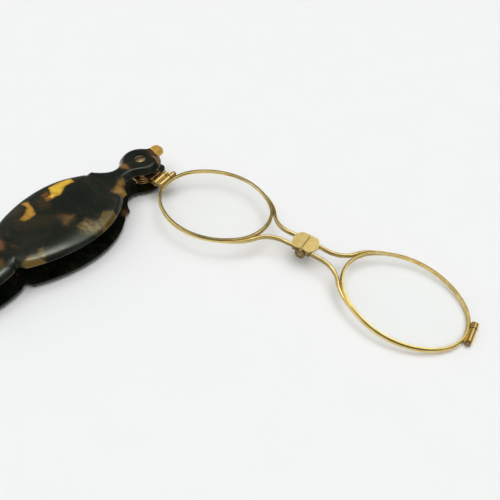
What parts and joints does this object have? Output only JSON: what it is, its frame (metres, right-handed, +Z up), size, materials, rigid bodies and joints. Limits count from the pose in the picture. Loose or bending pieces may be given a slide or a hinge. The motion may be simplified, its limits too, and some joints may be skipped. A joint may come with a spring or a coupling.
{
  "type": "folding lorgnette",
  "caption": "Folding lorgnette: hinged oval lenses in a wire frame swing out of a slotted tortoiseshell handle.",
  "frame": {"origin": "underside of the back plate, on the pivot axis", "axes": "+X along the handle to its tail, +Y across it to the side where the frame opens, +Z up from the back plate to the front plate"},
  "size_m": [0.0995, 0.1317, 0.0111],
  "materials": {
    "shell": "polished tortoiseshell, dark brown-green with amber patches",
    "gilt": "worn gilt brass",
    "dull_brass": "tarnished brass",
    "screw": "dark tarnished brass",
    "spring": "tarnished brass spring wire",
    "lens": "clear polished glass"
  },
  "bodies": {
    "handle": {"front_plate": "shell", "back_plate": "shell", "spine_spacer": "shell", "spine_pegs": "dull_brass", "stop_pin": "dull_brass", "pivot_screw": "screw", "pivot_bush": "dull_brass", "pivot_nut": "dull_brass", "friction_washer": "dull_brass", "seat_washer": "dull_brass", "swivel_spring": "spring"},
    "inner_frame": {"swivel_arm": "dull_brass", "inner_rim": "gilt", "inner_lens": "lens", "inner_barrels_lower": "gilt", "inner_barrels_upper": "gilt", "inner_closing_screw": "screw", "inner_wire_near": "gilt", "inner_wire_far": "gilt", "inner_hinge_leaf": "gilt", "hinge_pin": "screw"},
    "outer_frame": {"outer_hinge_leaf": "gilt", "outer_rim": "gilt", "outer_lens": "lens", "outer_wire_near": "gilt", "outer_wire_far": "gilt", "outer_barrel_lower": "gilt", "outer_barrel_upper": "gilt", "outer_closing_screw": "screw"}
  },
  "joints": [
    {"name": "swivel", "type": "hinge", "parent": "handle", "child": "inner_frame", "pos_m": [0, 0, 0.00625], "axis": [0, 0, 1], "range_deg": [-94.4, 25.5]},
    {"name": "bridge_fold", "type": "hinge", "parent": "inner_frame", "child": "outer_frame", "pos_m": [-0.00485, 0.06301, 0.005], "axis": [-0.9971, -0.0767, 0], "range_deg": [-5.5, 174.3]}
  ]
}
